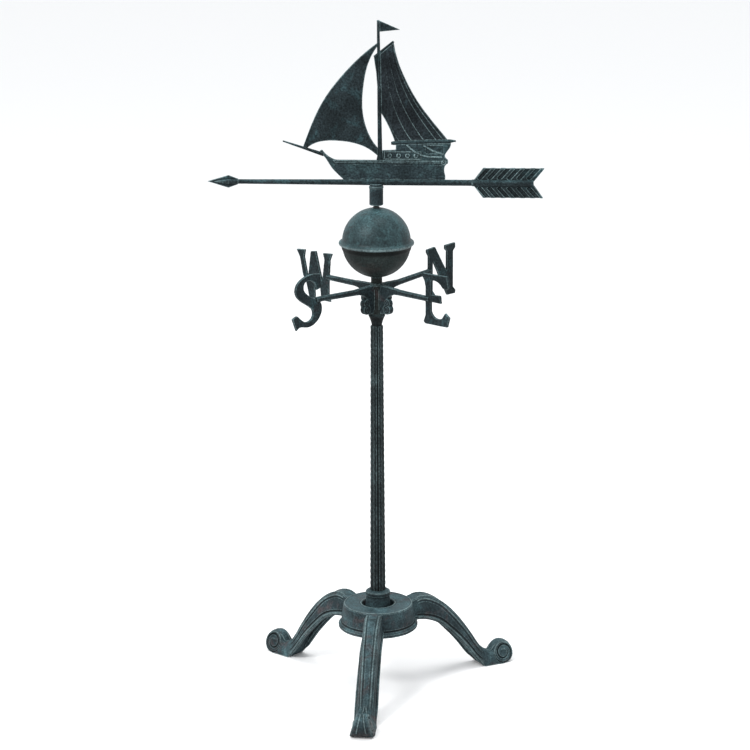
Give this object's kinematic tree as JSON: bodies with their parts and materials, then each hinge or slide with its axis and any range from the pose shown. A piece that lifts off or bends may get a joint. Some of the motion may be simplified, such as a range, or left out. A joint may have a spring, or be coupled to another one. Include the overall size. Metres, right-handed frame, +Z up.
{
  "type": "weather vane",
  "caption": "Free-standing garden weather vane: a sailing ship on a long arrow turns above a ball, compass letters and a ribbed post on a three-legged scrolled stand.",
  "frame": {"origin": "on the ground, under the post's axis, where the three feet's plane meets the turning axis", "axes": "+Z up along the post; the arrow lies along X at rest with its tip at -X and its feathers at +X"},
  "size_m": [0.594, 0.4661, 1.226],
  "materials": {
    "cast_body": "dark green-black verdigris patina on rough casting, worn lighter on edges",
    "ball_sheet": "same dark patina paint on smooth spun sheet",
    "steel_hardware": "plain machined steel, dull",
    "bush_brass": "machined, unpolished"
  },
  "bodies": {
    "stand": {"base_hub": "cast_body", "leg_front": "cast_body", "leg_right": "cast_body", "leg_left": "cast_body", "leg_bolts": "steel_hardware", "post_collar": "cast_body", "post": "cast_body", "centre_rod": "steel_hardware", "rod_washer": "steel_hardware", "rod_nut": "steel_hardware", "neck_spacer": "cast_body", "ball_lower_shell": "ball_sheet", "ball_upper_shell": "ball_sheet", "ball_nut": "steel_hardware"},
    "compass": {"direction_hub": "cast_body", "arm_north": "cast_body", "arm_east": "cast_body", "arm_south": "cast_body", "arm_west": "cast_body", "hub_set_screw": "steel_hardware"},
    "vane": {"vane_socket": "cast_body", "pivot_bush": "bush_brass", "thrust_ball": "steel_hardware", "arrow_shaft": "cast_body", "arrow_head": "cast_body", "arrow_tail": "cast_body", "ship_hull": "cast_body", "bowsprit": "cast_body", "mast": "cast_body", "pennant": "cast_body", "jib_sail": "cast_body", "mainsail": "cast_body", "gaff": "cast_body", "boom": "cast_body"}
  },
  "joints": [
    {"name": "vane_spin", "type": "hinge", "parent": "stand", "child": "vane", "pos_m": [0, 0, 0.917], "axis": [0, 0, 1], "continuous": true},
    {"name": "compass_turn", "type": "hinge", "parent": "stand", "child": "compass", "pos_m": [0, 0, 0.73], "axis": [0, 0, 1], "continuous": true}
  ]
}
